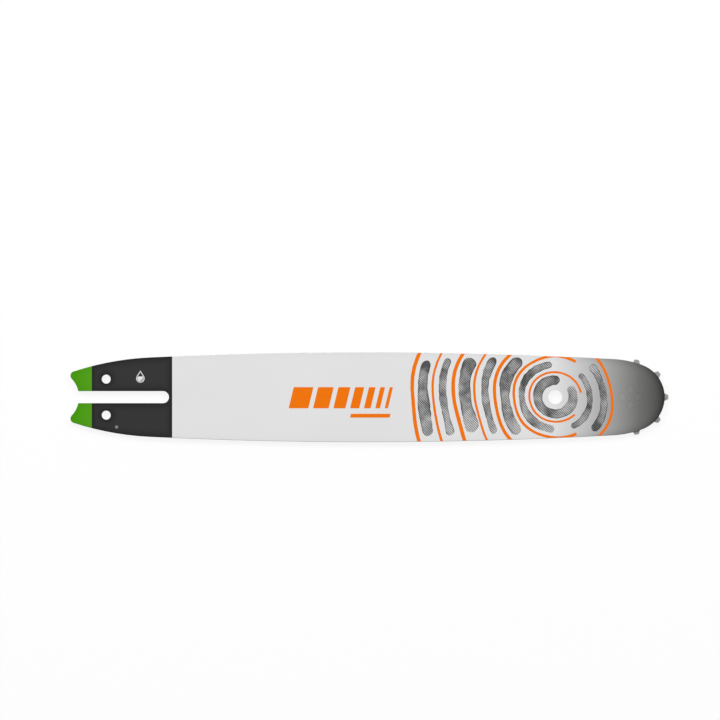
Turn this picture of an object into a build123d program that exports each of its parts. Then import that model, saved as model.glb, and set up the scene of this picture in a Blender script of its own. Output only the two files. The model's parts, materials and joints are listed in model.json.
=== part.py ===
from build123d import *

import os
from math import acos, asin, atan2, degrees, floor, pi, sin, sqrt

# A laminated chainsaw guide bar with a sprocket nose, lying flat on one face.
# +X runs along the bar to the nose, +Y across it and +Z up through its thickness.
# The origin is the centre of the slot's round end, on the face that the bar lies on.
# All sizes are in millimetres.

# The saw chain that runs on the bar
chain_pitch = 9.32
drive_link_gauge = 1.3
groove_depth = 7.0
rivet_line_above_rail = 3.52

# The two side plates
side_plate_thickness = 1.4
rail_edge_break = 0.25

# The rail: a long belly arc, a shoulder arc down to the nose and a taper arc to the tail
slot_to_nose = 317.9
belly_to_nose = 179.7
belly_rise = 5.3
shoulder_rise = 1.96
shoulder_radius = 67.0
taper_behind_slot = 9.3
taper_radius = 195.5

# The tail, forked round the saw's drive sprocket
drive_clearance_back = 75.4
drive_clearance_radius = 18.3
tail_tip_radius = 3.0
slot_width = 8.2
tensioner_hole_back = 38.6
tensioner_hole_spacing = 24.5
tensioner_hole_diameter = 6.1
oil_inlet_back = 31.6
oil_inlet_from_rail = 4.3
oil_inlet_diameter = 2.4

# The hole by which the bar hangs
hang_hole_to_nose = 51.0
hang_hole_diameter = 9.6

# Windows in the core, with infills that reach into a relief in each side plate
window_count = 2
window_rim = 6.0
window_rib = 12.0
window_end_wall = 12.0
window_corner_radius = 6.0
relief_depth = 0.6
infill_clearance = 0.05

# The nose sprocket
tooth_count = 9
tooth_stand_out = 2.5
tooth_width = 5.3
tooth_tip_width = 2.8
tooth_bevel_height = 2.8
gullet_depth = 7.7
gullet_radius = 3.6
sprocket_side_clearance = 0.1
sprocket_tip_clearance = 1.0

# The sprocket's bearing and the rivets that hold it
rivet_count = 4
rivet_circle_radius = 5.3
rivet_shank_diameter = 4.8
rivet_head_diameter = 5.4
rivet_clearance = 0.03
race_wall = 0.8
roller_diameter = 3.0
roller_gap = 0.08
roller_end_clearance = 0.1
bearing_clearance = 0.05

# Heights of the layers
thickness = drive_link_gauge + 2 * side_plate_thickness
core_bottom = side_plate_thickness
core_top = core_bottom + drive_link_gauge

# Radii about the nose
pitch_radius = chain_pitch / (2 * sin(pi / (2 * tooth_count)))
nose_radius = pitch_radius - rivet_line_above_rail
tooth_radius = nose_radius + tooth_stand_out
gullet_floor = nose_radius - gullet_depth
race_radius = rivet_circle_radius + rivet_shank_diameter / 2 + race_wall
roller_circle = race_radius + bearing_clearance + roller_diameter / 2
sprocket_bore = race_radius + roller_diameter + 2 * bearing_clearance

# The belly arc passes over the nose centre by the shoulder's rise
nose_centre = Vector(slot_to_nose, 0)
belly_radius = (belly_to_nose**2 + belly_rise**2) / (2 * belly_rise)
belly_top = nose_radius + shoulder_rise + belly_rise
belly_centre = Vector(slot_to_nose - belly_to_nose, belly_top - belly_radius)


def tangent_centre(outer_centre, outer_radius, inner_centre, inner_radius, radius):
    """Centre of the arc that lies inside one circle, touches it, and runs on into a smaller one."""
    reach = outer_radius - radius
    span = inner_centre - outer_centre
    along = (reach**2 - (radius - inner_radius) ** 2 + span.length**2) / (2 * span.length)
    across = sqrt(reach**2 - along**2)
    direction = span.normalized()
    tailwards = Vector(-direction.Y, direction.X)
    return outer_centre + direction * along + tailwards * across


def angle_of(vector):
    """Direction of a vector in the XY plane, in degrees."""
    return degrees(atan2(vector.Y, vector.X))


shoulder_centre = tangent_centre(belly_centre, belly_radius, nose_centre, nose_radius, shoulder_radius)
nose_end_angle = angle_of(nose_centre - shoulder_centre)
shoulder_end_angle = angle_of(shoulder_centre - belly_centre)
belly_end_angle = degrees(acos((-taper_behind_slot - belly_centre.X) / belly_radius))
taper_centre = belly_centre + Vector(belly_radius - taper_radius, 0).rotate(Axis.Z, belly_end_angle)


def arc_between(centre, radius, start_angle, end_angle):
    """Arc of a circle from one direction round to another."""
    return CenterArc(centre, radius, start_angle, end_angle - start_angle)


def bar_blank(inset=0):
    """The bar's outline before its tail is cut, moved inwards from the rail by an inset."""
    taper_end_angle = degrees(acos((-drive_clearance_back - taper_centre.X) / (taper_radius - inset)))
    upper = [
        arc_between(nose_centre, nose_radius - inset, 0, nose_end_angle),
        arc_between(shoulder_centre, shoulder_radius - inset, nose_end_angle, shoulder_end_angle),
        arc_between(belly_centre, belly_radius - inset, shoulder_end_angle, belly_end_angle),
        arc_between(taper_centre, taper_radius - inset, belly_end_angle, taper_end_angle),
    ]
    lower = [mirror(arc, about=Plane.XZ) for arc in upper]
    tail = Line(upper[-1] @ 1, lower[-1] @ 1)
    return make_face(upper + lower + [tail])


def rail_height(x):
    """Half height of the bar at a place on its tapered tail."""
    return taper_centre.Y + sqrt(taper_radius**2 - (x - taper_centre.X) ** 2)


def tail_cut():
    """Slot for the bar studs, open to the round clearance of the drive sprocket."""
    slot = Pos(-drive_clearance_back / 2, 0) * Rectangle(drive_clearance_back, slot_width)
    slot += Circle(slot_width / 2)
    return slot + Pos(-drive_clearance_back, 0) * Circle(drive_clearance_radius)


def through_holes():
    """Holes drilled through all three layers: two for the chain tensioner and one to hang the bar."""
    tensioner = Circle(tensioner_hole_diameter / 2)
    holes = [Pos(-tensioner_hole_back, side * tensioner_hole_spacing / 2) * tensioner for side in (-1, 1)]
    holes.append(Pos(slot_to_nose - hang_hole_to_nose, 0) * Circle(hang_hole_diameter / 2))
    return holes


def windows():
    """Outlines of the windows in the core, whose long sides follow the rail."""
    first = slot_width / 2 + window_end_wall
    last = slot_to_nose - hang_hole_to_nose - hang_hole_diameter / 2 - window_end_wall
    length = (last - first - (window_count - 1) * window_rib) / window_count
    inside = bar_blank(groove_depth + window_rim)
    outlines = []
    for i in range(window_count):
        middle = first + length / 2 + i * (length + window_rib)
        window = inside & Pos(middle, 0) * Rectangle(length, 2 * belly_top)
        outlines.append(fillet(window.vertices(), window_corner_radius))
    return outlines


def on_nose(radius, angle):
    """Location at a distance and direction from the nose centre, turned to face outwards."""
    return Pos(nose_centre) * Rot(0, 0, angle) * Pos(radius, 0)


def rivet_places():
    """Locations of the rivets round the nose centre."""
    return [on_nose(rivet_circle_radius, i * 360 / rivet_count) for i in range(rivet_count)]


def rivet_form(clearance=0):
    """A rivet with two countersunk heads, or its seat when there is a clearance."""
    head = rivet_head_diameter / 2 + clearance
    shank = rivet_shank_diameter / 2 + clearance
    cone = head - shank
    section = Polyline(
        (0, 0, 0),
        (head, 0, 0),
        (shank, 0, cone),
        (shank, 0, thickness - cone),
        (head, 0, thickness),
        (0, 0, thickness),
        close=True,
    )
    return revolve(make_face(section), Axis.Z)


def side_plate():
    """The upper side plate: rail, fork, holes, oil inlet, rivet seats and inner reliefs."""
    outline = bar_blank() - tail_cut()
    tips = outline.vertices().sort_by(Axis.X)[:2]
    outline = fillet(tips, tail_tip_radius)
    plate = extrude(Pos(0, 0, core_top) * outline, side_plate_thickness)
    outer_face = plate.faces().sort_by(Axis.Z)[-1]
    plate = chamfer(outer_face.outer_wire().edges(), rail_edge_break)
    inlet_y = rail_height(-oil_inlet_back) - oil_inlet_from_rail
    inlet = Pos(-oil_inlet_back, -inlet_y) * Circle(oil_inlet_diameter / 2)
    for hole in through_holes() + [inlet]:
        plate -= extrude(hole, thickness)
    for window in windows():
        plate -= extrude(window, core_top + relief_depth)
    for place in rivet_places():
        plate -= place * rivet_form(rivet_clearance)
    return plate


def turned_over(shape):
    """The same piece on the other face of the bar, turned over about its long axis."""
    return Pos(0, 0, thickness) * Rot(180, 0, 0) * shape


def core_plate():
    """The middle layer: its edge is the groove's floor and its front end clears the sprocket."""
    outline = bar_blank(groove_depth) - tail_cut()
    outline -= Pos(nose_centre) * Circle(tooth_radius + sprocket_tip_clearance)
    for cut in through_holes() + windows():
        outline -= cut
    return extrude(Pos(0, 0, core_bottom) * outline, drive_link_gauge)


def polyamide_infill(window):
    """Infill of one window, keyed into the relief of both side plates."""
    outline = offset(window, -infill_clearance)
    height = drive_link_gauge + 2 * relief_depth - 2 * infill_clearance
    return extrude(Pos(0, 0, (thickness - height) / 2) * outline, height)


def tooth_corners(turn):
    """Corners of one tooth at a turn about the nose: shoulder, both ends of the flat tip, shoulder."""
    shoulder = tooth_radius - tooth_bevel_height
    corners = [
        Vector(shoulder, -tooth_width / 2),
        Vector(tooth_radius, -tooth_tip_width / 2),
        Vector(tooth_radius, tooth_tip_width / 2),
        Vector(shoulder, tooth_width / 2),
    ]
    return [corner.rotate(Axis.Z, turn) for corner in corners]


def gullet(shoulder, next_shoulder, turn):
    """Space between the shoulders of two teeth: straight flanks down to a round floor."""
    floor_circle = Rot(0, 0, turn) * Pos(gullet_floor + gullet_radius, 0) * Circle(gullet_radius)
    return make_hull(floor_circle.edges() + [Line(shoulder, next_shoulder)])


def nose_sprocket():
    """Star with one tooth for each drive link that the nose holds."""
    tooth_turn = 360 / tooth_count
    teeth = [tooth_corners(i * tooth_turn) for i in range(tooth_count)]
    star = Polygon(*[corner for tooth in teeth for corner in tooth], align=None)
    for i in range(tooth_count):
        star -= gullet(teeth[i - 1][-1], teeth[i][0], (i - 0.5) * tooth_turn)
    star -= Circle(sprocket_bore)
    height = drive_link_gauge - 2 * sprocket_side_clearance
    return Pos(slot_to_nose, 0, (thickness - height) / 2) * extrude(star, height)


def bearing_race():
    """Disc clamped between the side plates by the rivets."""
    race = Pos(slot_to_nose, 0, core_bottom) * extrude(Circle(race_radius), drive_link_gauge)
    for place in rivet_places():
        race -= place * rivet_form(rivet_clearance)
    return race


def roller_places():
    """Locations of as many rollers as go round the race with the stated gap."""
    half_angle = asin((roller_diameter + roller_gap) / 2 / roller_circle)
    count = floor(pi / half_angle)
    return [on_nose(roller_circle, i * 360 / count) for i in range(count)]


def bearing_roller():
    """One roller, standing on its end at the origin."""
    length = drive_link_gauge - 2 * roller_end_clearance
    return Pos(0, 0, (thickness - length) / 2) * extrude(Circle(roller_diameter / 2), length)


def all_pieces():
    """Every piece of the bar by name."""
    front_plate = side_plate()
    pieces = {
        "front_side_plate": front_plate,
        "back_side_plate": turned_over(front_plate),
        "core_plate": core_plate(),
        "nose_sprocket": nose_sprocket(),
        "bearing_race": bearing_race(),
        "nose_rivets": Compound([place * rivet_form() for place in rivet_places()]),
    }
    for number, window in enumerate(windows(), 1):
        pieces[f"polyamide_infill_{number}"] = polyamide_infill(window)
    roller = bearing_roller()
    for number, place in enumerate(roller_places(), 1):
        pieces[f"bearing_roller_{number:02d}"] = place * roller
    return pieces


os.makedirs("parts", exist_ok=True)
for name, piece in all_pieces().items():
    export_step(piece, f"parts/{name}.step")
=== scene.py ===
# %% [markdown]
# # The guide bar of a chainsaw
# The bar is a sandwich of three steel plates, with a toothed wheel that runs on rollers in its nose.
# Its solids come finished from the CAD model, so this lesson never touches their meshes. It sets up a
# plain studio, gives every surface its finish, and adds the print that lies on the lacquer.

# %% Load the solids
import json
import math

import bmesh
import bpy
from mathutils import Matrix, Vector, noise


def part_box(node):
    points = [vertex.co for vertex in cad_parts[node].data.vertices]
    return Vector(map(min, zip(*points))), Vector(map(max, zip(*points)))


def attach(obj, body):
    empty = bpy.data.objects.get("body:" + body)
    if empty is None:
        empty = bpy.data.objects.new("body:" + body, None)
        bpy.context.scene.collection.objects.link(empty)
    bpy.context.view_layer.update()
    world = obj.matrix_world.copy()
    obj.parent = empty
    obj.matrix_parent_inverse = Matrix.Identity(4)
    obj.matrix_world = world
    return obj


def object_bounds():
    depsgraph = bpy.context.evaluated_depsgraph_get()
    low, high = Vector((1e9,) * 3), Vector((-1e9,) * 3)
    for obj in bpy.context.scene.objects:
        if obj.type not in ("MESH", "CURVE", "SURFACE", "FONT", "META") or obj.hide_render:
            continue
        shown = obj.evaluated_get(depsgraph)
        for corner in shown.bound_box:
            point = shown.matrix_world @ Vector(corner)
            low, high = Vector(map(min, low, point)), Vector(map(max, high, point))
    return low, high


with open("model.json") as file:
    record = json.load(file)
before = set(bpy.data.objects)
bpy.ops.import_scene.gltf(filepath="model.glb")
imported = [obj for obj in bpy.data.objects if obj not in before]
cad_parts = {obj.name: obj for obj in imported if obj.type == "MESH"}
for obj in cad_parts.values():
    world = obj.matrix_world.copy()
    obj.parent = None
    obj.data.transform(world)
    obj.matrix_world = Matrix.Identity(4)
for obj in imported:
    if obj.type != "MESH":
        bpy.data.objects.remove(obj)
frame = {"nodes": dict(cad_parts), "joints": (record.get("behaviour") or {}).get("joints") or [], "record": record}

MM = 0.001
cad_low, cad_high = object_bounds()
print("solids:", len(frame["nodes"]), "size in mm:", [round(side / MM, 2) for side in cad_high - cad_low])

# %% [markdown]
# ## The camera
# The picture looks straight down on the bar with hardly any perspective, so it was taken from far away
# through a long lens. An orthographic camera could do the same, but a long lens several metres up is what a
# photographer would use, and it keeps a hint of depth in the holes. The scale of the picture, in
# millimetres to a pixel, gives the height.

# %% Place the camera
PIXEL = 0.68 * MM
PICTURE_PIXELS = 720
PICTURE_CENTRE = Vector((134.0 * MM, 25.26 * MM, cad_high.z))
LENS_MM = 400
SENSOR_MM = 36
CLIP_END = 100

camera_data = bpy.data.cameras.new("long_lens")
camera_data.lens = LENS_MM
camera_data.sensor_width = SENSOR_MM
camera_data.clip_end = CLIP_END
camera = bpy.data.objects.new("long_lens", camera_data)
camera_height = PICTURE_PIXELS * PIXEL * LENS_MM / SENSOR_MM
camera.location = PICTURE_CENTRE + Vector((0, 0, camera_height))
bpy.context.scene.collection.objects.link(camera)
bpy.context.scene.camera = camera
print("camera", round(camera_height, 3), "m above the bar")

# %% [markdown]
# ## The studio
# A bar like this is shown on plain white under light from all sides. A white surround bright enough to
# look white would also flood the bar, so the world has two levels: rays from the camera, and the
# reflections in metal, see full white, and the light that falls on the bar is about a quarter of that. Two
# wide lamps add the rest. Both hang over the upper rail, so that the plate throws a little shade on the
# teeth below the nose, as it does in the picture. The view transform is Standard, so that a colour shows as
# it is written. Helpers add a node, fill its sockets with values or links, and do a sum, because the world
# and every material below are made of such nodes.

# %% Choose the view and help with nodes
view_settings = bpy.context.scene.view_settings
view_settings.view_transform = "Standard"


def fill_sockets(tree, node, inputs):
    """Sets sockets of a node, by name or number, or links those whose value comes from another node."""
    for name, value in inputs.items():
        if isinstance(value, bpy.types.NodeSocket):
            tree.links.new(value, node.inputs[name])
        else:
            node.inputs[name].default_value = value


def add_node(tree, kind, inputs=None, **settings):
    """Adds a node with its settings, and fills its sockets."""
    node = tree.nodes.new(kind)
    for name, value in settings.items():
        setattr(node, name, value)
    fill_sockets(tree, node, inputs or {})
    return node


def maths(tree, operation, first, second=0.0):
    """Result of one sum on two values."""
    return add_node(tree, "ShaderNodeMath", {0: first, 1: second}, operation=operation).outputs[0]


print("view transform:", view_settings.view_transform)

# %% Light the studio
def seen_directly(tree):
    """One for what the camera sees, straight or in a reflection, and nothing for light on its way."""
    path = add_node(tree, "ShaderNodeLightPath").outputs
    reflected = maths(tree, "MAXIMUM", path["Is Glossy Ray"], path["Is Transmission Ray"])
    return maths(tree, "MAXIMUM", path["Is Camera Ray"], reflected)


def grey(value):
    """A neutral colour of one brightness."""
    return (value, value, value, 1)


WHITE = grey(1)
SOFT_LIGHT = 0.28

studio = bpy.data.worlds.new("studio")
studio.use_nodes = True
tree = studio.node_tree
tree.nodes.clear()
soft = add_node(tree, "ShaderNodeBackground", {"Color": WHITE, "Strength": SOFT_LIGHT})
white = add_node(tree, "ShaderNodeBackground", {"Color": WHITE, "Strength": 1.0})
levels = {0: seen_directly(tree), 1: soft.outputs[0], 2: white.outputs[0]}
level = add_node(tree, "ShaderNodeMixShader", levels)
add_node(tree, "ShaderNodeOutputWorld", {"Surface": level.outputs[0]})
bpy.context.scene.world = studio
print("world", studio.name, "looks white and lights the bar with", SOFT_LIGHT)

# %% Hang the lamps
LAMP_SIZE = 1.0
bar_middle = Vector((PICTURE_CENTRE.x, 0, 0))


def add_lamp(name, place, watts):
    """A square lamp at a place seen from the middle of the bar, which it faces."""
    data = bpy.data.lights.new(name, "AREA")
    data.size = LAMP_SIZE
    data.energy = watts
    lamp = bpy.data.objects.new(name, data)
    lamp.location = bar_middle + Vector(place)
    lamp.rotation_euler = (bar_middle - lamp.location).to_track_quat("-Z", "Y").to_euler()
    bpy.context.scene.collection.objects.link(lamp)
    print(name, watts, "W")


add_lamp("left_lamp", place=(-1.1, 1.35, 1.6), watts=32.6)
add_lamp("right_lamp", place=(1.1, 1.2, 1.6), watts=24.2)

# %% [markdown]
# ## The floor
# The floor is one large square just under the bar. It has to look white and still catch a shadow. So most
# of its white is its own glow, which only the camera and reflections see, and the rest is ordinary paint,
# on which the bar's shadow shows.

# %% Lay the floor
FLOOR_HALF_WIDTH = 4.0
FLOOR_DROP = 0.1 * MM
FLOOR_PAINT = 0.12

floor_paint = bpy.data.materials.new("white_floor")
floor_paint.use_nodes = True
tree = floor_paint.node_tree
tree.nodes.clear()
paint = add_node(tree, "ShaderNodeBsdfDiffuse", {"Color": grey(FLOOR_PAINT)})
glow_level = maths(tree, "MULTIPLY", seen_directly(tree), 1 - FLOOR_PAINT)
glow = add_node(tree, "ShaderNodeEmission", {"Color": WHITE, "Strength": glow_level})
both = add_node(tree, "ShaderNodeAddShader", {0: paint.outputs[0], 1: glow.outputs[0]})
add_node(tree, "ShaderNodeOutputMaterial", {"Surface": both.outputs[0]})


def new_piece(name, bm, material):
    """An object at the origin, made of a bmesh and one material."""
    mesh = bpy.data.meshes.new(name)
    bm.to_mesh(mesh)
    bm.free()
    mesh.materials.append(material)
    piece = bpy.data.objects.new(name, mesh)
    bpy.context.scene.collection.objects.link(piece)
    return piece


bm = bmesh.new()
bmesh.ops.create_grid(bm, x_segments=1, y_segments=1, size=FLOOR_HALF_WIDTH)
bmesh.ops.translate(bm, verts=bm.verts, vec=(0, 0, cad_low.z - FLOOR_DROP))
floor = new_piece("floor", bm, floor_paint)
print("floor at", round(floor.data.vertices[0].co.z / MM, 3), "mm")

# %% [markdown]
# ## The lacquer on the plates
# The side plates are lacquered on their outer faces: green tips, a dark tail, a pale body, and a sprayed
# shade that runs to a warm near black at the nose. Three pieces of film could show the zones, but lacquer
# has no edge that the eye can see, so one material paints them all. It reads the place along the bar: a
# Less Than node makes the sharp line between two zones, and a Map Range node the sprayed shade. A colour
# ramp would blur the lines, because it holds only 256 steps for the whole length.

# %% Mix the lacquer
plate_low, plate_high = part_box("front_side_plate")
GREEN_ENDS = -48.37 * MM
DARK_ENDS = 6.27 * MM
SHADE_STARTS = 265.5 * MM
SHADE_DEEPENS = 323.5 * MM
GREEN_TIP = (0.055, 0.308, 0.0, 1)
GREEN_LINE = (0.084, 0.330, 0.010, 1)
DARK_TAIL = grey(0.0322)
PALE_BODY, GREY_NOSE, DARK_NOSE = 0.772, 0.165, 0.049
WARMTH_STARTS, BLUE_AT_TIP = 290 * MM, 0.95


def remap(tree, value, low, high, to_low, to_high):
    """A value moved from one range to another, and held inside it."""
    before = {"From Min": low, "From Max": high}
    after = {"To Min": to_low, "To Max": to_high}
    return add_node(tree, "ShaderNodeMapRange", {"Value": value, **before, **after}).outputs[0]


def mix_colours(tree, share, first, second, blend_type="MIX"):
    """Two colours mixed by a share. The Mix node takes colours in its sockets 6 and 7."""
    sockets = {0: share, 6: first, 7: second}
    return add_node(tree, "ShaderNodeMix", sockets, data_type="RGBA", blend_type=blend_type).outputs[2]


def coat_colour(tree, place):
    """Colour of the lacquer by its place along the bar."""
    along = add_node(tree, "ShaderNodeSeparateXYZ", {"Vector": place}).outputs["X"]
    shade = remap(tree, along, SHADE_STARTS, SHADE_DEEPENS, PALE_BODY, GREY_NOSE)
    deepening = remap(tree, along, SHADE_DEEPENS, plate_high.x, 0.0, DARK_NOSE - GREY_NOSE)
    sprayed = maths(tree, "ADD", shade, deepening)
    blue = remap(tree, along, WARMTH_STARTS, plate_high.x, 1.0, BLUE_AT_TIP)
    less_blue = maths(tree, "MULTIPLY", sprayed, blue)
    channels = {"Red": sprayed, "Green": sprayed, "Blue": less_blue}
    body = add_node(tree, "ShaderNodeCombineColor", channels).outputs[0]
    paling = remap(tree, along, plate_low.x, GREEN_ENDS, 0.0, 1.0)
    tips = mix_colours(tree, paling, GREEN_TIP, GREEN_LINE)
    tail = mix_colours(tree, maths(tree, "LESS_THAN", along, GREEN_ENDS), DARK_TAIL, tips)
    return mix_colours(tree, maths(tree, "LESS_THAN", along, DARK_ENDS), body, tail)


print("lacquer: green to", round(GREEN_ENDS / MM, 2), "mm and dark to", round(DARK_ENDS / MM, 2), "mm")

# %% [markdown]
# ## The painted shade along the edges
# The lacquer is painted a little darker along its edges, a painted shade that is strongest on the dark tail
# and on the nose. A painted mask would need a map of the outline. The outline is known, though: the rail is
# a row of arcs, the slot a line with a round end, and the recess at the tail and the tensioner holes are
# circles. The depth below an arc is its radius less the distance from its centre, so a few Distance nodes
# give the depth below any edge. One absolute value folds the lower half of the bar on to the upper one. The
# painted shade also runs along the dark tail's two straight lines.
#
# The rail has four arcs, and each runs smoothly into the next: the taper of the tail, the long belly, the
# shoulder and the nose. How far the belly rises over half its chord gives its radius. Where two arcs meet,
# their centres and the meeting point lie on one line. So the centres of belly, shoulder and nose form a
# triangle whose three sides are known, and the law of cosines gives the direction from the belly's centre
# to the shoulder's.

# %% Work out the arcs of the rail
nose_centre = Vector(frame["joints"][0]["pos_m"])
BELLY_TO_NOSE = 179.7 * MM
BELLY_RISE = 5.3 * MM
BELLY_STARTS = -9.3 * MM
SHOULDER_RISE = 1.96 * MM
SHOULDER_RADIUS = 67 * MM
TAPER_RADIUS = 195.5 * MM

nose = nose_centre.xy
nose_radius = plate_high.x - nose.x
belly_radius = (BELLY_TO_NOSE**2 + BELLY_RISE**2) / (2 * BELLY_RISE)
belly = nose + Vector((-BELLY_TO_NOSE, nose_radius + SHOULDER_RISE + BELLY_RISE - belly_radius))


def inside_belly(radius, angle):
    """Centre of a smaller arc that meets the belly in a direction from the belly's centre."""
    return belly + (belly_radius - radius) * Vector((math.cos(angle), math.sin(angle)))


to_nose = nose - belly
belly_to_shoulder = belly_radius - SHOULDER_RADIUS
shoulder_to_nose = SHOULDER_RADIUS - nose_radius
squares = to_nose.length_squared + belly_to_shoulder**2 - shoulder_to_nose**2
opening = math.acos(squares / (2 * to_nose.length * belly_to_shoulder))
shoulder_angle = math.atan2(to_nose.y, to_nose.x) + opening
shoulder = inside_belly(SHOULDER_RADIUS, shoulder_angle)
taper = inside_belly(TAPER_RADIUS, math.acos((BELLY_STARTS - belly.x) / belly_radius))
shoulder_starts = belly.x + belly_radius * math.cos(shoulder_angle)
nose_starts = shoulder.x + SHOULDER_RADIUS * (nose - shoulder).normalized().x
arcs_after_taper = [
    # where it starts along the bar, its centre and its radius
    (BELLY_STARTS, belly, belly_radius),
    (shoulder_starts, shoulder, SHOULDER_RADIUS),
    (nose_starts, nose, nose_radius),
]
print("arcs after the taper start at", [round(start / MM, 2) for start, *_ in arcs_after_taper], "mm")

# %% Measure the depth below the edges
mounts = {mount["name"]: Vector(mount["pos_m"]) for mount in frame["record"]["mounts"]}
tensioner_hole = mounts["tensioner_hole_upper"].xy.to_3d()
TENSIONER_RADIUS = 3.05 * MM
SLOT_RADIUS = 4.1 * MM
RECESS_CENTRE = Vector((-75.4 * MM, 0, 0))
RECESS_RADIUS = 18.3 * MM


def vector_maths(tree, operation, first, second=(0, 0, 0)):
    """Outputs of a node that does one sum on two vectors."""
    return add_node(tree, "ShaderNodeVectorMath", {0: first, 1: second}, operation=operation).outputs


def distance(tree, place, point):
    """Distance of a place from a point."""
    return vector_maths(tree, "DISTANCE", place, point)["Value"]


def mix_values(tree, share, first, second):
    """Two values mixed by a share. The Mix node takes values in its sockets 2 and 3."""
    return add_node(tree, "ShaderNodeMix", {0: share, 2: first, 3: second}, data_type="FLOAT").outputs[0]


def depth_below_edges(tree, place):
    """How far a place on the plate lies inside its outline."""
    axes = add_node(tree, "ShaderNodeSeparateXYZ", {"Vector": place}).outputs
    across = maths(tree, "ABSOLUTE", axes["Y"])
    folded = add_node(tree, "ShaderNodeCombineXYZ", {"X": axes["X"], "Y": across}).outputs[0]
    depth = maths(tree, "SUBTRACT", TAPER_RADIUS, distance(tree, folded, taper.to_3d()))
    for start, centre, radius in arcs_after_taper:
        below = maths(tree, "SUBTRACT", radius, distance(tree, folded, centre.to_3d()))
        depth = mix_values(tree, maths(tree, "GREATER_THAN", axes["X"], start), depth, below)
    ahead = maths(tree, "MAXIMUM", axes["X"], 0.0)
    beside_slot = add_node(tree, "ShaderNodeCombineXYZ", {"X": ahead, "Y": across}).outputs[0]
    from_slot = maths(tree, "SUBTRACT", distance(tree, beside_slot, (0, 0, 0)), SLOT_RADIUS)
    from_recess = maths(tree, "SUBTRACT", distance(tree, folded, RECESS_CENTRE), RECESS_RADIUS)
    from_hole = maths(tree, "SUBTRACT", distance(tree, folded, tensioner_hole), TENSIONER_RADIUS)
    for other in (from_slot, from_recess, from_hole):
        depth = maths(tree, "MINIMUM", depth, other)
    return depth


print("depth is measured from", len(arcs_after_taper) + 1, "arcs, the slot, the recess and two holes")

# %% Paint shade along the edges
SHADE_DEPTH = 9 * MM
SHADE_POWER = 3.0
GREEN_EDGE_SHADE, DARK_EDGE_SHADE, PALE_EDGE_SHADE, NOSE_EDGE_SHADE, TIP_EDGE_SHADE = 0.08, 0.62, 0.04, 0.36, 0.7


def painted_edge_shade(tree, place):
    """Painted shade on the lacquer: one inside it, and less along its edges, by as much as each zone shows."""
    along = add_node(tree, "ShaderNodeSeparateXYZ", {"Vector": place}).outputs["X"]
    in_green = maths(tree, "LESS_THAN", along, GREEN_ENDS)
    in_tail = maths(tree, "LESS_THAN", along, DARK_ENDS)
    in_dark = maths(tree, "SUBTRACT", in_tail, in_green)
    from_green = maths(tree, "SUBTRACT", along, GREEN_ENDS)
    from_pale = maths(tree, "SUBTRACT", DARK_ENDS, along)
    from_lines = maths(tree, "MINIMUM", from_green, from_pale)
    near_line = maths(tree, "MULTIPLY", in_dark, remap(tree, from_lines, 0.0, SHADE_DEPTH, 1.0, 0.0))
    near_edge = remap(tree, depth_below_edges(tree, place), 0.0, SHADE_DEPTH, 1.0, 0.0)
    nearness = maths(tree, "MAXIMUM", near_edge, near_line)
    growing = remap(tree, along, SHADE_STARTS, SHADE_DEEPENS, PALE_EDGE_SHADE, NOSE_EDGE_SHADE)
    at_tip = remap(tree, along, SHADE_DEEPENS, plate_high.x, 0.0, TIP_EDGE_SHADE - NOSE_EDGE_SHADE)
    body = maths(tree, "ADD", growing, at_tip)
    tail = mix_values(tree, in_green, DARK_EDGE_SHADE, GREEN_EDGE_SHADE)
    strength = mix_values(tree, in_tail, body, tail)
    # painted shade: the lacquer loses brightness towards its edges, most on the dark tail and the nose
    painted_shade_loss = maths(tree, "MULTIPLY", strength, maths(tree, "POWER", nearness, SHADE_POWER))
    return maths(tree, "SUBTRACT", 1.0, painted_shade_loss)


print("shade reaches", round(SHADE_DEPTH / MM, 1), "mm in from the edges")

# %% [markdown]
# ## Lacquer on steel
# With colours and shade at hand, the finish of the plates comes together. A few helpers serve this finish
# and all the others: a material with one shader, a noise with a grain size, and ways to turn that noise
# into brightness, gloss or relief. A sprayed coat is never quite even: slow clouds and a fine grain change
# its brightness by a hundredth, and a faint orange peel its relief. The coat goes over the edge break of
# the plate. Everything below it, and every inner face, is bare ground steel. Two materials on separate
# faces could show that, but a solid's mesh is left alone here. So one material reads the height, and swaps
# lacquer for metal.

# %% Helpers for finishes
NOISE_LOW, NOISE_HIGH = 0.3, 0.7


def new_finish(name, **sockets):
    """A material with one shader, and the place on the piece for its patterns to read."""
    material = bpy.data.materials.new(name)
    material.use_nodes = True
    tree = material.node_tree
    tree.nodes.clear()
    shader = add_node(tree, "ShaderNodeBsdfPrincipled", sockets)
    add_node(tree, "ShaderNodeOutputMaterial", {"Surface": shader.outputs[0]})
    place = add_node(tree, "ShaderNodeTexCoord").outputs["Object"]
    return material, tree, shader, place


def grain(tree, place, size, detail=2.0, stretch=(1, 1, 1), turn=0.0):
    """A value between 0 and 1 that wanders over about one grain size, stretched along an axis if asked."""
    layout = {"Vector": place, "Rotation": (0, 0, turn), "Scale": stretch}
    laid = add_node(tree, "ShaderNodeMapping", layout).outputs[0]
    texture = {"Vector": laid, "Scale": 1 / size, "Detail": detail}
    return add_node(tree, "ShaderNodeTexNoise", texture).outputs[0]


def vary(tree, texture, low, high):
    """A grain spread over a range of values. Nearly all of a grain lies between 0.3 and 0.7."""
    return remap(tree, texture, NOISE_LOW, NOISE_HIGH, low, high)


def shaded(tree, colour, value):
    """A colour made lighter or darker by a value near one."""
    channels = {"Red": value, "Green": value, "Blue": value}
    light = add_node(tree, "ShaderNodeCombineColor", channels).outputs[0]
    return mix_colours(tree, 1.0, colour, light, blend_type="MULTIPLY")


def relief(tree, height, depth):
    """Fine bumps of a depth in metres, for a shader's normal."""
    sockets = {"Height": height, "Distance": depth, "Strength": 1.0}
    return add_node(tree, "ShaderNodeBump", sockets).outputs[0]


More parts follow.
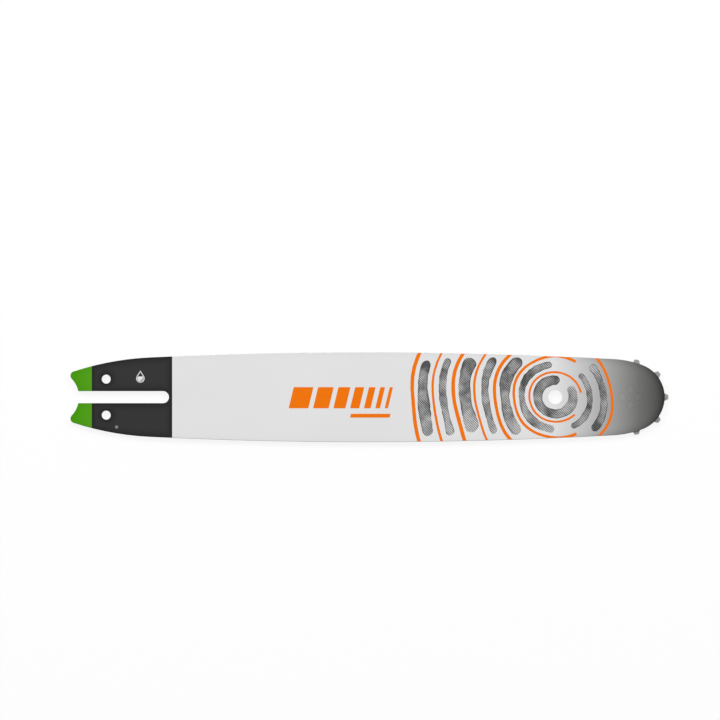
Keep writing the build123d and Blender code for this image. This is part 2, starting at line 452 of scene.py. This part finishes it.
def dress(material, nodes):
    """Gives solids a finish."""
    for name in nodes:
        frame["nodes"][name].material_slots[0].material = material
    print(material.name, "on", len(nodes), "solids")


# %% Lacquer the plates
middle_height = (cad_low.z + cad_high.z) / 2
COAT_SHEEN = 0.08
COAT_ROUGHNESS, COAT_PATCH = (0.42, 0.52), 25 * MM
UNEVENNESS, CLOUD_SIZE, SPECK_SIZE = 0.012, 60 * MM, 0.5 * MM
PEEL_SIZE, PEEL_DEPTH = 1.2 * MM, 0.004 * MM
LACQUER_REACH = 0.32 * MM
RAGGED_SIZE, RAGGED_BY = 1.5 * MM, 0.04 * MM
GROUND_STEEL, STEEL_LIGHT, STEEL_ROUGHNESS = grey(0.33), (0.75, 1.2), (0.3, 0.45)
GRINDING_SIZE, GRINDING_STRETCH = 0.25 * MM, (0.03, 0.03, 1)


def coat_variation(tree, place):
    """Brightness of a sprayed coat: one, with slow clouds and a fine grain."""
    cloud = vary(tree, grain(tree, place, CLOUD_SIZE), -UNEVENNESS, UNEVENNESS)
    speck = vary(tree, grain(tree, place, SPECK_SIZE), -UNEVENNESS, UNEVENNESS)
    return maths(tree, "ADD", maths(tree, "ADD", cloud, speck), 1.0)


def height_from_middle(tree, place):
    """Distance above or below the bar's middle plane."""
    up = add_node(tree, "ShaderNodeSeparateXYZ", {"Vector": place}).outputs["Z"]
    return maths(tree, "ABSOLUTE", maths(tree, "SUBTRACT", up, middle_height))


lacquer, tree, shader, place = new_finish("lacquered_plate", **{"Specular IOR Level": COAT_SHEEN})
# the lacquer's uneven tone, times the painted shade along its edges
light = maths(tree, "MULTIPLY", coat_variation(tree, place), painted_edge_shade(tree, place))
coat = shaded(tree, coat_colour(tree, place), light)
ragged = remap(tree, grain(tree, place, RAGGED_SIZE), 0.0, 1.0, -RAGGED_BY, RAGGED_BY)
outer = maths(tree, "ADD", height_from_middle(tree, place), ragged)
is_coated = maths(tree, "GREATER_THAN", outer, cad_high.z - middle_height - LACQUER_REACH)
grinding = grain(tree, place, GRINDING_SIZE, detail=3.0, stretch=GRINDING_STRETCH)
steel = shaded(tree, GROUND_STEEL, vary(tree, grinding, *STEEL_LIGHT))
steel_gloss = vary(tree, grinding, *STEEL_ROUGHNESS)
coat_gloss = vary(tree, grain(tree, place, COAT_PATCH), *COAT_ROUGHNESS)
finish = {
    "Base Color": mix_colours(tree, is_coated, steel, coat),
    "Metallic": maths(tree, "SUBTRACT", 1.0, is_coated),
    "Roughness": mix_values(tree, is_coated, steel_gloss, coat_gloss),
    "Normal": relief(tree, grain(tree, place, PEEL_SIZE), PEEL_DEPTH),
}
fill_sockets(tree, shader, finish)
dress(lacquer, ["front_side_plate", "back_side_plate"])

# %% [markdown]
# ## The rivets
# Four rivets hold the nose. They are ground flush and lacquered with the plates, so only a faint ring shows
# where each head meets its seat. A modelled ring would be too coarse for it. The material works out the
# distance to the nearest rivet, which the fourfold symmetry makes easy, paints a little shade on the rim
# of each head and paints the head itself a little lighter, as a painted highlight.

# %% Mix the lacquer of the rivets
RIVET_CIRCLE = 5.3 * MM
RIVET_HEAD = 2.7 * MM
RIM_WIDTH = 0.7 * MM
PAINTED_HEAD_HIGHLIGHT, PAINTED_RIM_SHADE = 1.05, 0.84
RIVET_ROUGHNESS, RIVET_PATCH = (0.42, 0.5), 4 * MM

rivet_lacquer, tree, shader, place = new_finish("lacquered_rivet", **{"Specular IOR Level": COAT_SHEEN})
from_nose = vector_maths(tree, "SUBTRACT", place, nose_centre)[0]
quarter = vector_maths(tree, "ABSOLUTE", from_nose)[0]
flat = vector_maths(tree, "MULTIPLY", quarter, (1, 1, 0))[0]
to_rivets = [distance(tree, flat, middle) for middle in ((RIVET_CIRCLE, 0, 0), (0, RIVET_CIRCLE, 0))]
from_rivet = maths(tree, "MINIMUM", *to_rivets)
# a painted highlight on each head, fading to a painted shade on its rim
rivet_shade_and_highlight = remap(tree, from_rivet, RIVET_HEAD - RIM_WIDTH, RIVET_HEAD, PAINTED_HEAD_HIGHLIGHT, PAINTED_RIM_SHADE)
light = maths(tree, "MULTIPLY", rivet_shade_and_highlight, coat_variation(tree, place))
finish = {
    "Base Color": shaded(tree, coat_colour(tree, place), light),
    "Roughness": vary(tree, grain(tree, place, RIVET_PATCH), *RIVET_ROUGHNESS),
    "Normal": relief(tree, grain(tree, place, PEEL_SIZE), PEEL_DEPTH),
}
fill_sockets(tree, shader, finish)
dress(rivet_lacquer, ["nose_rivets"])

# %% [markdown]
# ## Bare steel
# The wheel in the nose is stamped from hard steel and ground, so fine lines cross its teeth, under a dull
# film of old oil. The core plate keeps the darker skin of rolled steel. The race and the rollers are
# polished. One helper makes all three: a grain stretched along an axis gives the lines of grinding and
# rolling, and an even one gives clouds. A picture of real steel would show more, but it would repeat, and
# the model would have to carry it.

# %% Finish the steel pieces
STEEL_CLOUDS = 9 * MM


def steel_finish(name, colour, contrast, roughness, line_size, stretch, depth, bareness=1.0):
    """Bare steel with lines that run along one axis, and less bare under a dull film of old oil."""
    material, tree, shader, place = new_finish(name, Metallic=bareness)
    lines = grain(tree, place, line_size, detail=4.0, stretch=stretch)
    light = vary(tree, lines, 1 - contrast, 1 + contrast)
    cloudy = vary(tree, grain(tree, place, STEEL_CLOUDS), 1 - contrast / 2, 1 + contrast / 2)
    finish = {
        "Base Color": shaded(tree, colour, maths(tree, "MULTIPLY", light, cloudy)),
        "Roughness": vary(tree, lines, *roughness),
        "Normal": relief(tree, lines, depth),
    }
    fill_sockets(tree, shader, finish)
    return material


sprocket_steel = steel_finish(
    "ground_sprocket",
    colour=grey(0.275),
    contrast=0.12,
    roughness=(0.44, 0.6),
    line_size=0.3 * MM,
    stretch=(1, 0.08, 1),
    depth=0.004 * MM,
    bareness=0.3,
)
core_steel = steel_finish(
    "rolled_core",
    colour=grey(0.26),
    contrast=0.2,
    roughness=(0.3, 0.5),
    line_size=0.5 * MM,
    stretch=(0.03, 1, 1),
    depth=0.003 * MM,
)
bearing_steel = steel_finish(
    "polished_bearing",
    colour=grey(0.55),
    contrast=0.05,
    roughness=(0.12, 0.2),
    line_size=0.15 * MM,
    stretch=(1, 1, 0.1),
    depth=0.001 * MM,
)
dress(sprocket_steel, ["nose_sprocket"])
dress(core_steel, ["core_plate"])
dress(bearing_steel, [name for name in frame["nodes"] if name.startswith("bearing_")])

# %% [markdown]
# ## The polyamide infills
# The infills that lighten the bar are black polyamide with short glass fibres in it. The fibres could be
# thousands of tiny rods, but on a moulded face they show only as pale flecks. So a grain is stretched,
# turned and cut off until just its peaks are left.

# %% Finish the infills
POLYAMIDE_SHEEN = 0.4
POLYAMIDE, FIBRE = grey(0.02), grey(0.06)
FIBRE_SIZE, FIBRE_STRETCH, FIBRE_TURN = 0.3 * MM, (0.15, 1, 1), 0.5
FIBRES_FROM, FIBRES_FULL = 0.62, 0.72
POLYAMIDE_ROUGHNESS, POLYAMIDE_PATCH = (0.5, 0.7), 3 * MM
MOULD_GRAIN, MOULD_DEPTH = 0.4 * MM, 0.01 * MM

sheen = {"Specular IOR Level": POLYAMIDE_SHEEN}
polyamide, tree, shader, place = new_finish("glass_filled_polyamide", **sheen)
flecks = grain(tree, place, FIBRE_SIZE, detail=3.0, stretch=FIBRE_STRETCH, turn=FIBRE_TURN)
fibres = remap(tree, flecks, FIBRES_FROM, FIBRES_FULL, 0.0, 1.0)
finish = {
    "Base Color": mix_colours(tree, fibres, POLYAMIDE, FIBRE),
    "Roughness": vary(tree, grain(tree, place, POLYAMIDE_PATCH), *POLYAMIDE_ROUGHNESS),
    "Normal": relief(tree, grain(tree, place, MOULD_GRAIN), MOULD_DEPTH),
}
fill_sockets(tree, shader, finish)
dress(polyamide, [name for name in frame["nodes"] if name.startswith("polyamide_")])

# %% [markdown]
# ## The inks
# The print is silk-screened: flat orange, flat white, and a grey that was brushed out first and hatched.
# A material on the plate could hold all of it, but then the edges of the print would be as coarse as a
# texture when the model is used elsewhere. So the inks are thin films of their own, and only what happens
# inside the grey is a pattern. It is blotched like a wash of ink, darker where a stroke begins and pale
# where it runs out, and here and there a rim dries darker. For that the grey film carries an attribute
# named stroke: how far along its stroke each point lies, and how far across.

# %% Mix the flat inks
PULL_SIZE, PULL_STRETCH, PULL_LIGHT = 2.5 * MM, (0.3, 1, 1), (0.96, 1.03)
INK_ROUGHNESS = (0.5, 0.4)
INK_GRAIN, INK_DEPTH = 0.6 * MM, 0.003 * MM
ORANGE, OFF_WHITE = (0.88, 0.18, 0.002, 1), grey(0.8)


def flat_ink(name, colour):
    """Screen ink of one colour, with the slight unevenness of a squeegee pull."""
    material, tree, shader, place = new_finish(name, **{"Specular IOR Level": COAT_SHEEN})
    pull = grain(tree, place, PULL_SIZE, detail=3.0, stretch=PULL_STRETCH)
    finish = {
        "Base Color": shaded(tree, colour, vary(tree, pull, *PULL_LIGHT)),
        "Roughness": vary(tree, pull, *INK_ROUGHNESS),
        "Normal": relief(tree, grain(tree, place, INK_GRAIN), INK_DEPTH),
    }
    fill_sockets(tree, shader, finish)
    return material


orange_ink = flat_ink("orange_ink", ORANGE)
white_ink = flat_ink("white_ink", OFF_WHITE)
print("flat inks:", orange_ink.name, white_ink.name)

# %% Mix the brushed ink
# at a scale of one, the bands of a Wave texture lie this far apart
BAND_PITCH = math.tau / 20
HATCH_PITCH, HATCH_TURN, HATCH_WAVER = 1.15 * MM, math.radians(-45), 0.6
HATCH_EDGES, HATCH_LIGHT = (0.25, 0.75), (0.4, 1.6)
HATCH_ROUGHNESS, HATCH_DEPTH = (0.42, 0.55), 0.004 * MM
PALE_WASH, DARK_WASH, BLOTCH_SIZE = grey(0.44), grey(0.085), 8 * MM
FULL_BRUSH, FULL_UNTIL = 0.4, 0.2
EMPTY_BRUSH, EMPTY_FROM = 0.3, 0.65
RIM_FROM, RIM_FULL = 0.65, 0.95
POOL_SIZE, POOLS_FROM, POOLS_FULL, POOL_LOSS = 10 * MM, 0.42, 0.58, 0.7

brushed_ink, tree, shader, place = new_finish("brushed_grey_ink", **{"Specular IOR Level": COAT_SHEEN})
turned = add_node(tree, "ShaderNodeMapping", {"Vector": place, "Rotation": (0, 0, HATCH_TURN)}).outputs[0]
waves = {"Scale": BAND_PITCH / HATCH_PITCH, "Distortion": HATCH_WAVER, "Detail": 1.0}
hatch = add_node(tree, "ShaderNodeTexWave", {"Vector": turned, **waves}).outputs["Fac"]
hatching = remap(tree, hatch, *HATCH_EDGES, *HATCH_LIGHT)
stroke_place = add_node(tree, "ShaderNodeAttribute", attribute_name="stroke").outputs["Vector"]
on_brush = add_node(tree, "ShaderNodeSeparateXYZ", {"Vector": stroke_place}).outputs
blotches = vary(tree, grain(tree, place, BLOTCH_SIZE, detail=4.0), 0.0, 1.0)
full = remap(tree, on_brush["X"], 0.0, FULL_UNTIL, FULL_BRUSH, 0.0)
empty = remap(tree, on_brush["X"], EMPTY_FROM, 1.0, 0.0, EMPTY_BRUSH)
fullness = maths(tree, "ADD", blotches, maths(tree, "SUBTRACT", full, empty))
wash = mix_colours(tree, fullness, PALE_WASH, DARK_WASH)
near_rim = remap(tree, maths(tree, "ABSOLUTE", on_brush["Y"]), RIM_FROM, RIM_FULL, 0.0, 1.0)
pooled = remap(tree, grain(tree, place, POOL_SIZE), POOLS_FROM, POOLS_FULL, 0.0, POOL_LOSS)
rim_light = maths(tree, "SUBTRACT", 1.0, maths(tree, "MULTIPLY", near_rim, pooled))
finish = {
    "Base Color": shaded(tree, wash, maths(tree, "MULTIPLY", hatching, rim_light)),
    "Roughness": remap(tree, hatch, 0.0, 1.0, *HATCH_ROUGHNESS),
    "Normal": relief(tree, hatch, HATCH_DEPTH),
}
fill_sockets(tree, shader, finish)
print("hatched ink:", brushed_ink.name, "with a line every", round(HATCH_PITCH / MM, 2), "mm")

# %% [markdown]
# ## The slanted bars
# On the pale body sits a row of slanted orange bars that grow thinner towards the nose, with a short line
# below. Each could be drawn corner by corner, but operators keep its sizes readable: it starts as a square
# of one unit from create_grid, whose size is half a side, is scaled to its size, sheared to its slant and
# rounded at its corners by a bevel of its four vertices. A helper then gives any flat sheet the thickness
# of ink: it extrudes the sheet downwards, so that the film sinks a hair into the lacquer and shows no gap.

# %% Turn a sheet into ink
INK_PROUD = 0.02 * MM
INK_SUNK = 0.01 * MM


def to_film(bm):
    """Gives a flat sheet on the XY plane the thickness of ink, on the face that is up."""
    bmesh.ops.translate(bm, verts=bm.verts, vec=(0, 0, cad_high.z + INK_PROUD))
    grown = bmesh.ops.extrude_face_region(bm, geom=bm.faces[:])["geom"]
    lower = [item for item in grown if isinstance(item, bmesh.types.BMVert)]
    bmesh.ops.translate(bm, verts=lower, vec=(0, 0, -INK_PROUD - INK_SUNK))
    bmesh.ops.recalc_face_normals(bm, faces=bm.faces)


def print_on_both_faces(name, bm, ink):
    """Turns a sheet into ink on the front of the bar, and turns a copy over on to its back."""
    to_film(bm)
    open_edges = sum(not edge.is_manifold for edge in bm.edges)
    front = new_piece(name + "_front", bm, ink)
    back = front.copy()
    back.name = name + "_back"
    back.data = front.data.copy()
    back.data.name = back.name
    half_turn = Matrix.Rotation(math.pi, 4, "X")
    to_middle = Matrix.Translation((0, 0, middle_height))
    back.data.transform(to_middle @ half_turn @ to_middle.inverted())
    bpy.context.scene.collection.objects.link(back)
    for film in (front, back):
        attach(film, "bar")
    print(name, len(front.data.polygons), "faces a side,", open_edges, "open edges")


print("ink stands", round(INK_PROUD / MM, 3), "mm proud")

# %% Print the slanted bars
BARS_LEFT = 87.2 * MM
BARS_MIDDLE = -0.4 * MM
BAR_HEIGHT = 14.4 * MM
BAR_WIDTHS = [width * MM for width in (13.4, 10.6, 8.2, 6.2, 4.5, 3.2, 2.2)]
BAR_GAP = 3.2 * MM
BAR_SLANT = 0.24
BAR_CORNER, CORNER_STEPS = 0.5 * MM, 5
LINE_SIZE = (27 * MM, 2.6 * MM)
LINE_CENTRE = (141.0 * MM, -12.6 * MM)


def slanted_bar(bm, centre, size):
    """A flat bar, slanted about its own middle, with rounded corners."""
    corners = bmesh.ops.create_grid(bm, x_segments=1, y_segments=1, size=0.5)["verts"]
    bmesh.ops.scale(bm, verts=corners, vec=(*size, 1))
    bmesh.ops.transform(bm, verts=corners, matrix=Matrix.Shear("XZ", 4, (BAR_SLANT, 0)))
    bmesh.ops.translate(bm, verts=corners, vec=(*centre, 0))
    bmesh.ops.bevel(
        bm,
        geom=corners,
        offset=BAR_CORNER,
        affect="VERTICES",
        segments=CORNER_STEPS,
        profile=0.5,
        material=-1,
    )


slanted_bars = bmesh.new()
left = BARS_LEFT
for width in BAR_WIDTHS:
    slanted_bar(slanted_bars, (left + width / 2, BARS_MIDDLE), (width, BAR_HEIGHT))
    left += width + BAR_GAP
slanted_bar(slanted_bars, LINE_CENTRE, LINE_SIZE)
print_on_both_faces("slanted_bars", slanted_bars, orange_ink)

# %% [markdown]
# ## The growth rings
# Round the hanging hole the print shows the growth rings of a tree: broad strokes of a soft brush in grey,
# and thin orange lines between them. A stroke is a short edge across the brush, cut into lanes, that spin
# carries round the hole. Every point then has a progress along the stroke and an offset across it. The
# offsets shrink towards both ends, which rounds them, and swell and thin on the way as the pressure of a
# hand does. The two values are kept in the attribute that the ink reads. At last a slow noise pushes every
# point in or out, because no hand draws a perfect circle. The noise depends only on the place, so the
# result is the same on each run.

# %% Spin a brush stroke
hole = mounts["hang_hole"].xy.to_3d()
STEP = 0.3 * MM
TURN_SLACK = 0.01


def spun_strip(bm, radius, width, first, last, lanes):
    """A flat strip along an arc round the hanging hole, cut into lanes across its width."""
    start = Matrix.Rotation(math.radians(first), 3, "Z")
    ends = [bm.verts.new(hole + start @ Vector((radius + side * width / 2, 0, 0))) for side in (-1, 1)]
    cut = bmesh.ops.subdivide_edges(bm, edges=[bm.edges.new(ends)], cuts=lanes - 1)["geom_split"]
    across = [item for item in cut if isinstance(item, bmesh.types.BMEdge)]
    points = list(dict.fromkeys(vert for edge in across for vert in edge.verts))
    sweep = math.radians(last - first)
    steps = round(radius * sweep / STEP)
    before = set(bm.faces)
    bmesh.ops.spin(bm, geom=points + across, cent=hole, axis=(0, 0, 1), angle=sweep, steps=steps)
    return [face for face in bm.faces if face not in before]


def on_stroke(point, radius, width, first, last):
    """Progress of a point along a stroke, from 0 to 1, and its offset across, from -1 to 1."""
    arm = point - hole
    turn = math.atan2(arm.y, arm.x) - math.radians(first)
    # the slack keeps a first point that rounding puts a hair before the start from counting a whole turn
    turn = (turn + TURN_SLACK) % math.tau - TURN_SLACK
    return turn / math.radians(last - first), (arm.length - radius) / (width / 2)


print("strokes are spun in steps of", round(STEP / MM, 2), "mm")

# %% Press the brush and sway the hand
# the ends of a stroke keep a little width, so that their points stay apart
BLUNT = 0.01
PRESSURE, PRESSURE_CHANGE, PRESSURE_SIZE = 0.95, 0.3, 16 * MM
SWAY, SWAY_SIZE = 2.4 * MM, 34 * MM
TREMBLE_SIZE = 3.2 * MM


def press(faces, stroke, stroke_layer):
    """Rounds both ends of a stroke, varies its width on the way, and notes each point's place on it."""
    radius, width, first, last = stroke
    length = radius * math.radians(last - first)
    for vert in dict.fromkeys(vert for face in faces for vert in face.verts):
        progress, offset = on_stroke(vert.co, *stroke)
        from_end = min(progress, 1 - progress) * length / (width / 2)
        roundness = math.sqrt(1 - (1 - min(max(from_end, BLUNT), 1)) ** 2)
        # each stroke reads a row of the noise of its own, picked by its radius
        swell = noise.noise((progress * length / PRESSURE_SIZE, radius / MM, 0))
        pressure = PRESSURE + PRESSURE_CHANGE * swell
        reach = radius + offset * roundness * pressure * width / 2
        vert.co = hole + (vert.co - hole).normalized() * reach
        vert[stroke_layer] = (progress, offset, 0)


def draw_by_hand(bm, tremble):
    """Pushes the points of a print in or out from the hole, by a slow sway and a quick tremble."""
    for vert in bm.verts:
        sway = SWAY * noise.noise(vert.co / SWAY_SIZE)
        vert.co += (vert.co - hole).normalized() * (sway + tremble * noise.noise(vert.co / TREMBLE_SIZE))


print("a hand sways by up to", round(SWAY / MM, 2), "mm and its pressure by", PRESSURE_CHANGE)

# %% Brush the grey rings
LANES = 6
TREMBLE = 0.35 * MM
BRUSH_STROKES = [
    # radius, width, first and last angle
    (11.8, 6.4, 75, 398),
    (22.6, 5.0, 96, 268),
    (23.0, 4.2, -62, 44),
    (34.5, 8.0, 132, 225),
    (32.6, 5.6, -42, 43),
    (48.0, 5.4, 147, 211),
    (61.5, 8.6, 155, 203),
    (76.0, 5.2, 160, 200),
    (89.5, 7.6, 164, 197),
]

grey_rings = bmesh.new()
stroke_layer = grey_rings.verts.layers.float_vector.new("stroke")
for radius, width, first, last in BRUSH_STROKES:
    stroke = (radius * MM, width * MM, first, last)
    press(spun_strip(grey_rings, *stroke, LANES), stroke, stroke_layer)
draw_by_hand(grey_rings, TREMBLE)
print_on_both_faces("grey_growth_rings", grey_rings, brushed_ink)

# %% [markdown]
# ## The orange lines
# The thin lines between the strokes run from rail to rail, and the rail cuts them off. They are spun like
# the strokes, with two lanes and a steadier hand. A boolean could trim them, but it is slow and easily
# leaves slivers on flat sheets. The rail bulges outwards all the way, and the solid's own mesh follows it
# with short straight edges on its upper face. So each of those edges gives a plane to trim the lines with
# bisect_plane.

# %% Find the rails
RAIL_FROM, RAIL_ABOVE = 60 * MM, 22 * MM
HAIR = 0.001 * MM


def rail_edge(side):
    """Corners of the plate's upper face along one rail, from tail to nose, where the print lies."""
    found = {}
    for vert in frame["nodes"]["front_side_plate"].data.vertices:
        on_face = abs(vert.co.z - cad_high.z) < HAIR
        if on_face and vert.co.y * side > RAIL_ABOVE and vert.co.x > RAIL_FROM:
            # the solid's mesh is loose triangles, which repeat a corner, so each is kept once by its place
            found[round(vert.co.x, 6)] = vert.co.copy()
    return [found[x] for x in sorted(found)]


rails = {side: rail_edge(side) for side in (-1, 1)}
print("corners along the rails:", [len(corners) for corners in rails.values()])

# %% Draw the orange lines
LINE_LANES = 2
LINE_TREMBLE = TREMBLE / 3
ORANGE_LINES = [
    # radius, width, first and last angle
    (17.4, 1.4, 10, 318),
    (28.2, 1.8, 60, 300),
    (38.4, 1.8, -50, 50),
    (41.6, 2.2, 130, 230),
    (55.0, 1.6, 145, 215),
    (69.0, 2.4, 150, 210),
    (82.6, 1.6, 155, 205),
    (97.0, 2.6, 158, 202),
]


def trim_to_rails(bm):
    """Cuts off what lies beyond the rails."""
    for side, corners in rails.items():
        for here, there in zip(corners, corners[1:]):
            along = (there - here).normalized()
            outwards = Vector((-along.y, along.x, 0)) * side
            everything = bm.verts[:] + bm.edges[:] + bm.faces[:]
            bmesh.ops.bisect_plane(
                bm, geom=everything, plane_co=(here.x, here.y, 0), plane_no=outwards, clear_outer=True
            )


orange_lines = bmesh.new()
for radius, width, first, last in ORANGE_LINES:
    spun_strip(orange_lines, radius * MM, width * MM, first, last, LINE_LANES)
draw_by_hand(orange_lines, LINE_TREMBLE)
trim_to_rails(orange_lines)
print_on_both_faces("orange_growth_rings", orange_lines, orange_ink)

# %% [markdown]
# ## The oil drop
# A small white drop on the tail shows where oil goes in. Curves could draw its lines, but insets of one
# face give them an even width at once. It starts as a circle whose upper half is drawn out to a point, and
# the points near it are dissolved, so that the sides run straight and an inset can't fold over there.
# Insets, each inside the last, leave rings: a line, a gap, the rim of the oil, and a ring that holds its
# shine. bisect_plane cuts the oil at its level. Then the gap is deleted, with what lies above the level
# and, of the ring of shine, the quarter at the lower right.

# %% Draw the outline of the drop
DROP_POINTS = 64
DROP_RADIUS = 2.85 * MM
DROP_LIFT = 2.4 * MM
POINT_POWER = 3
STRAIGHT_FROM = 3.1 * MM
drop_tip = DROP_RADIUS + DROP_LIFT

drop = bmesh.new()
bmesh.ops.create_circle(drop, cap_ends=True, segments=DROP_POINTS, radius=DROP_RADIUS)
for vert in drop.verts:
    drawn_out = (max(vert.co.y, 0) / DROP_RADIUS) ** POINT_POWER
    vert.co.y += DROP_LIFT * drawn_out
    vert.co.x *= math.sqrt(max(1 - drawn_out, 0))
on_sides = [vert for vert in drop.verts if STRAIGHT_FROM < vert.co.y < drop_tip - HAIR]
bmesh.ops.dissolve_verts(drop, verts=on_sides)
print("drop has", len(drop.verts), "points round its edge")

# %% Print the oil drop
DROP_CENTRE = Vector((-15.35 * MM, 12.75 * MM, 0))
DROP_LINE = 0.55 * MM
DROP_GAP = 0.3 * MM
OIL_LEVEL = 1.3 * MM
OIL_RIM = 0.4 * MM
SHINE = 0.45 * MM
inside = drop.faces[:]


def inner_ring(thickness, at_border=False):
    """The ring of faces that an inset leaves round what is inside."""
    inset = bmesh.ops.inset_region(
        drop, faces=inside, thickness=thickness, use_even_offset=True, use_boundary=at_border
    )
    return inset["faces"]


def above_level(faces):
    """Cuts faces at the oil's level and gives those above it."""
    geometry = list(dict.fromkeys(item for face in faces for item in (face, *face.edges, *face.verts)))
    cut = bmesh.ops.bisect_plane(drop, geom=geometry, plane_co=(0, OIL_LEVEL, 0), plane_no=(0, 1, 0))
    pieces = [item for item in cut["geom"] if isinstance(item, bmesh.types.BMFace)]
    return [face for face in pieces if face.calc_center_median().y > OIL_LEVEL]


inner_ring(DROP_LINE, at_border=True)
gap = inner_ring(DROP_GAP)
oil_rim = inner_ring(OIL_RIM)
shine = inner_ring(SHINE)
middles = {face: face.calc_center_median() for face in shine}
bare = gap + [face for face, middle in middles.items() if middle.x > 0 and middle.y < 0]
bare += above_level(oil_rim + [face for face in shine if face not in bare] + inside)
bmesh.ops.delete(drop, geom=bare, context="FACES")
bmesh.ops.translate(drop, verts=drop.verts, vec=DROP_CENTRE)
print_on_both_faces("oil_drop", drop, white_ink)
